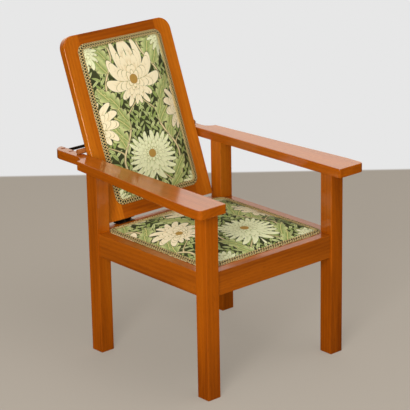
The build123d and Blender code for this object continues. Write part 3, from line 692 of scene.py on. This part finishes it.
# Back upholstery: stuffing and a printed cover tacked on the front of the back's frame, in one low crown.
back_x, back_y, back_corner, back_crown = 164.0, 252.5, 27.0, 22.8
back_middle_up, back_front = 297.5, 27.7
_, hinge_y, hinge_z = np.mean(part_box("hinge_pins"), 0) * 1000


def on_back(points, middle_up=back_middle_up, out=back_front):
    """From the back panel's own axes, x across, y up the back and z out of its front, to the chair's."""
    x, up, forward = points[:, 0], points[:, 1] + middle_up, points[:, 2] + out
    return np.stack([x, hinge_y + up * sin(back_lean) - forward * cos(back_lean),
                     hinge_z + up * cos(back_lean) + forward * sin(back_lean)], 1)


back_pad = tacked_pad("back_upholstery", back_x, back_y, back_corner, back_crown, on_back, (0.0, 232.0))
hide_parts("back_cover", "back_padding")
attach(back_pad, "back")

# Rear cloth: the same printed cotton, stretched over the opening behind the back, in a shallow recess of the
# frame's rear face.


def rear_cloth_points(s, t, half_x, half_y, corner):
    """A rounded panel that is drawn in a little in the middle: rear_hollow times (1 - s^2)(1 - t^2)."""
    x, y, most = rounded(half_x, half_y, corner, s, t)
    return np.stack([x * most, y * most, rear_hollow * (1 - s ** 2) * (1 - t ** 2)], 1)


rear_x, rear_y, rear_corner, rear_hollow = 163.2, 251.7, 26.5, 0.35
rear_out, rear_print_up = 6.0, 117.0
rear_columns, rear_rows = 161, 241
cloth_thickness = 0.0006
rear_grid = np.meshgrid(np.linspace(-1, 1, rear_rows), np.linspace(-1, 1, rear_columns), indexing="ij")
t, s = (v.ravel() for v in rear_grid)
flat = rear_cloth_points(s, t, rear_x, rear_y, rear_corner)
rear_faces = grid_faces(rear_rows, rear_columns)[:, ::-1]
rear_cloth = new_piece("back_outer_cloth", on_back(flat, out=rear_out), rear_faces, cotton_print)
keep_cloth(rear_cloth.data, flat[:, 0], flat[:, 1] + rear_print_up)
thick = rear_cloth.modifiers.new("thickness", "SOLIDIFY")
thick.thickness, thick.offset = cloth_thickness, -1.0
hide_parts("back_rear_cloth")
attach(rear_cloth, "back")

# Gimp: a woven scroll braid, two tan cords that cross in a chain of eyes over dark green threads. It is
# glued over the tacks all round, its inner edge lying up on the foot of each pad.
gimp_width, gimp_columns, eye_pair, twill_spacing = 16.0, 23, 19.0, 1.3
cord_swing, cord_half, under_cord = 5.6, 1.9, 0.8
bead_half, bead_run, bead_height = 2.4, 0.45, 0.8
beyond_tan, spot_out, spot_half, spot_run = 0.52, 5.4, 1.9, 2.1


def rim_path(half_x, half_y, corner, step):
    """Points at equal steps round a rounded rectangle, their outward directions and the run so far."""
    turn = np.linspace(0, pi / 2, 40)
    x, y, nx, ny = [], [], [], []
    for quarter, (sx, sy) in enumerate(((1, 1), (-1, 1), (-1, -1), (1, -1))):
        angle = turn + quarter * pi / 2
        x.append(sx * (half_x - corner) + corner * np.cos(angle))
        y.append(sy * (half_y - corner) + corner * np.sin(angle))
        nx.append(np.cos(angle))
        ny.append(np.sin(angle))
    x, y, nx, ny = (np.concatenate(v + [v[0][:1]]) for v in (x, y, nx, ny))
    run = np.concatenate([[0], np.cumsum(np.hypot(np.diff(x), np.diff(y)))])
    count = int(run[-1] / step)
    at = np.arange(count) * run[-1] / count
    return [np.interp(at, run, v) for v in (x, y, nx, ny)] + [at, run[-1]]


def braid_finish():
    """Dark threads twilled across the band, with tan where the cords stand up."""
    material, shader, own_place = new_finish("gimp_braid")
    cord, run, width = own_place.node("Attribute", {"attribute_name": "braid"}, out="Vector").split()
    twill = (run + width * 1.4).wave(twill_spacing)
    fuzz = own_place.noise(1500.0, 2.0)
    dark = (twill * 0.6 + fuzz * 0.5).rise(0.2, 0.9).over(colour(22, 22, 4), colour(54, 50, 18))
    tan = (twill * 0.5 + fuzz * 0.6).rise(0.2, 0.9).over(colour(172, 140, 76), colour(248, 222, 158))
    body = cord.rise(0.3, 0.6).over(dark, tan)
    relief = twill * 0.6 + fuzz * 0.3
    bump = relief.node("Bump", {}, {"Strength": 0.45, "Distance": 0.0004, "Height": relief})
    lay(shader, {"Base Color": body, "Roughness": 0.7 + fuzz * 0.2, "Normal": bump},
        {"Specular IOR Level": 0.25})
    return material


gimp_finish = braid_finish()


def gimp(name, half_x, half_y, corner, thickness, rise, place, under, node, body, side=1):
    """A band carried round the rim. Its top climbs by rise from the outer edge to the inner one. On it two
    cords wind as opposite sines, each a half circle high, with a dark bead in each eye between them. Beyond
    them are tan threads with a dark spot beside each crossing. side is -1 where it faces rearward."""
    half = gimp_width / 2
    rim_x, rim_y, nx, ny, run, length = rim_path(half_x - half, half_y - half, corner - half, 1.0)
    phase = 2 * pi * round(length / eye_pair) * run / length
    across_band, along = np.meshgrid(np.linspace(-1, 1, gimp_columns) * (half - 0.3), phase)
    cords = np.stack([cord_swing * np.sin(along), -cord_swing * np.sin(along)])
    lift = np.sqrt(np.maximum(0, 1 - ((across_band[None] - cords) / cord_half) ** 2)).max(0)
    over = np.where(np.cos(along) * np.sign(across_band) > 0, 1.0, under_cord)
    bead = bead_height * np.exp(-(across_band / bead_half) ** 2 - (np.cos(along) / bead_run) ** 2)
    climb = rise * ((half - across_band) / gimp_width) ** 1.2
    height = thickness * (0.5 + 0.5 * np.maximum(lift * over, bead)) + climb
    rows = len(run)
    edges = np.full((rows, 2), half) * [1, -1]
    across_full = np.concatenate([across_band, edges], 1)
    height_full = np.concatenate([height, np.full((rows, 2), 0.05)], 1)
    x = rim_x[:, None] + nx[:, None] * across_full
    y = rim_y[:, None] + ny[:, None] * across_full
    points = np.stack([x, y, side * height_full + under], 2).reshape(-1, 3)
    columns = across_full.shape[1]
    i, j = np.meshgrid(np.arange(rows), np.arange(columns), indexing="ij")
    next_i, next_j = (i + 1) % rows * columns, (j + 1) % columns
    i = i * columns
    faces = np.stack([i + j, next_i + j, next_i + next_j, i + next_j], -1).reshape(-1, 4)
    if side > 0:
        faces = faces[:, ::-1]
    piece = new_piece(name, place(points), faces, gimp_finish)
    crossing = np.sin(along) * eye_pair / (2 * pi)
    spot = np.hypot((np.abs(across_band) - spot_out) / spot_half, crossing / spot_run)
    beyond = beyond_tan * (np.abs(across_band) > np.abs(cords[0])) * (spot > 1)
    cord = np.concatenate([np.maximum(lift * over, beyond), np.full((rows, 2), beyond_tan)], 1)
    runs = np.repeat(run[:, None], columns, 1)
    layer = piece.data.attributes.new("braid", "FLOAT_VECTOR", "POINT")
    layer.data.foreach_set("vector", np.stack([cord, runs, across_full], 2).astype(np.float32).ravel())
    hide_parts(node)
    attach(piece, body)
    return piece


gimp("seat_braid", seat_x, seat_y, seat_corner, 2.2, 4.0, on_seat, 1.2, "seat_gimp", "frame")
gimp("back_braid", back_x, back_y, back_corner, 2.2, 4.0, on_back, 1.2, "back_gimp", "back")
gimp("back_outer_braid", 163.4, 251.9, 26.5, 1.4, 0, on_back, 5.9 - back_front, "back_rear_gimp", "back",
     side=-1)

# Dust cloth: thin black cotton tacked under the seat frame and cut out round the posts. It sags a little.


def sagging_cloth(xs, ys, low, sag):
    """A grid at the level low that hangs by sag in its middle: low - sag (1 - s^2)(1 - t^2)."""
    y, x = (v.ravel() for v in np.meshgrid(ys, xs, indexing="ij"))
    s, t = x / np.abs(xs).max(), (y - ys.mean()) / (np.ptp(ys) / 2)
    return np.stack([x, y, low - sag * np.clip(1 - s ** 2, 0, 1) * np.clip(1 - t ** 2, 0, 1)], 1)


dust_low, dust_high = (np.array(corner) * 1000 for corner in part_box("seat_dust_cloth"))
front_post, rear_post = (np.array(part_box(name)) * 1000 for name in ("front_leg_right", "rear_leg_right"))
post_clearance, dust_level, dust_sag, between_posts = 0.5, 312.9, 3.0, 61
post_front, post_rear = front_post[1][1] + post_clearance, rear_post[0][1] - post_clearance
post_x = front_post[0][0] - post_clearance
xs = np.concatenate([[-dust_high[0]], np.linspace(-post_x, post_x, between_posts), [dust_high[0]]])
ys = np.concatenate([[dust_low[1]], np.linspace(post_front, post_rear, between_posts), [dust_high[1]]])
hung = sagging_cloth(xs, ys, dust_level, dust_sag)
quads = grid_faces(len(ys), len(xs))
row, column = np.divmod(np.arange(len(quads)), len(xs) - 1)
at_post = np.isin(row, (0, len(ys) - 2)) & np.isin(column, (0, len(xs) - 2))
used, renumbered = np.unique(quads[~at_post], return_inverse=True)
material, shader, own_place = new_finish("black_cotton")
x, y, _ = own_place.split()
thread = x.wave(0.0012) * y.wave(0.0012)
wear = (thread * 0.5 + own_place.noise(12.0, 4.0) * 0.7).rise(0.1, 0.9)
body = wear.over(colour(22, 21, 20), colour(50, 48, 46))
bump = thread.node("Bump", {}, {"Strength": 0.3, "Distance": 0.0003, "Height": thread})
lay(shader, {"Base Color": body, "Normal": bump}, {"Roughness": 0.85, "Specular IOR Level": 0.2})
dust_cloth = new_piece("seat_bottom_cloth", hung[used], renumbered.reshape(-1, 4)[:, ::-1], material)
thick = dust_cloth.modifiers.new("thickness", "SOLIDIFY")
thick.thickness, thick.offset = cloth_thickness, 0.0
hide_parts("seat_dust_cloth")
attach(dust_cloth, "frame")

# Floor, light and view: a plain pale floor before a pale background, soft light from the left and a little
# from above, and a camera with a long lens, 2.3 m up, in front and to the left.
floor_half, floor_base, floor_tone = 7.0, colour(194, 184, 170), colour(184, 174, 160)
backdrop, warm_shadow = colour(231, 231, 231), colour(44, 28, 10)
away_from_view = (0.657, 0.754, 0)
corners = np.array([[-1, -1, 0], [1, -1, 0], [1, 1, 0], [-1, 1, 0]]) * floor_half * 1000
material, shader, own_place = new_finish("studio_floor")
lay(shader, {}, {"Base Color": floor_base, "Roughness": 0.8})
# The camera sees the floor half lit and half as an even tone, and beyond its far part only the backdrop.
# Glossy surfaces mirror it as a warm shadow.
straight = own_place.dotted(away_from_view)
round_edge = own_place.node("VectorMath", {"operation": "LENGTH"}, {0: own_place}, 1).rise(2.4, 3.2)
through_glass = own_place.node("LightPath", out="Is Transmission Ray")
seen = own_place.node("LightPath", out="Is Camera Ray") + through_glass
wall_starts = straight.maths("MAXIMUM", straight.rise(1.72, 1.75), round_edge)
even = own_place.node("Emission", {}, {"Color": floor_tone, "Strength": 1.0})
lit = Shade(material.node_tree, shader.outputs[0])
shown = lit.node("MixShader", {}, {0: seen * 0.5, 1: lit, 2: even})
glow = own_place.node("Emission", {}, {"Color": backdrop, "Strength": 1.0})
shown = shown.node("MixShader", {}, {0: wall_starts * seen, 1: shown, 2: glow})
mirrored = own_place.node("LightPath", out="Is Glossy Ray")
dim = own_place.node("Emission", {}, {"Color": warm_shadow, "Strength": 1.0})
shown = mirrored.node("MixShader", {}, {0: mirrored, 1: shown, 2: dim})
material.node_tree.links.new(shown.socket, material.node_tree.nodes["Material Output"].inputs["Surface"])
floor = new_piece("studio_floor", corners, [[0, 1, 2, 3]], material, smooth=False)

world = bpy.data.worlds.new("studio")
world.use_nodes = True
bpy.context.scene.world = world
background = world.node_tree.nodes["Background"]
# The camera sees the backdrop, glossy surfaces mirror a dark room with one bright wall, and a dim even light
# falls on everything.
sky = Shade(world.node_tree, None)
seen = sky.node("LightPath", out="Is Camera Ray") + sky.node("LightPath", out="Is Transmission Ray")
ambient, dark_room, bright_wall = 0.29, colour(64, 46, 26), (1.43, 1.2, 1.13, 1)
light_colour = seen.over((ambient, ambient, ambient, 1), backdrop)
behind = sky.node("TexCoord", out="Generated").dotted((0.63, 0.72, 0)).rise(0.3, 0.88)
mirrored = sky.node("LightPath", out="Is Glossy Ray")
light_colour = mirrored.over(light_colour, behind.over(dark_room, bright_wall))
world.node_tree.links.new(light_colour.socket, background.inputs["Color"])
background.inputs["Strength"].default_value = 1.0


def soft_lamp(name, place, towards, width, height, power):
    """A soft lamp, width by height, at place. It faces towards and the camera doesn't see it."""
    lamp = bpy.data.lights.new(name, "AREA")
    lamp.shape = "RECTANGLE"
    lamp.energy, lamp.size, lamp.size_y = power, width, height
    holder = bpy.data.objects.new(name, lamp)
    facing = (Vector(towards) - Vector(place)).to_track_quat("-Z", "Y")
    holder.matrix_world = Matrix.Translation(place) @ facing.to_matrix().to_4x4()
    holder.visible_camera = False
    bpy.context.collection.objects.link(holder)


soft_lamp("key_lamp", (-3.4, -2.5, 1.9), (0, 0, 0.55), 1.6, 2.4, 138)
soft_lamp("top_lamp", (0.4, -1.0, 3.0), (0, 0, 0.4), 2.0, 2.0, 22)

view_from = Vector((-3.5017, -4.0579, 2.2581))
view_to = Vector((0.0286, -0.0039, 0.4444))
view_roll = radians(-1.0351)
forward = (view_to - view_from).normalized()
level = forward.cross(Vector((0, 0, 1))).normalized()
upward = level.cross(forward)
right = level * cos(view_roll) + upward * sin(view_roll)
top = upward * cos(view_roll) - level * sin(view_roll)
camera = bpy.data.cameras.new("view")
camera.lens, camera.sensor_width = 163.77, 36.0
camera.clip_end = 60
viewer = bpy.data.objects.new("view", camera)
viewer.matrix_world = Matrix.Translation(view_from) @ Matrix((right, top, -forward)).transposed().to_4x4()
bpy.context.collection.objects.link(viewer)
bpy.context.scene.camera = viewer
bpy.context.scene.view_settings.view_transform = "Standard"
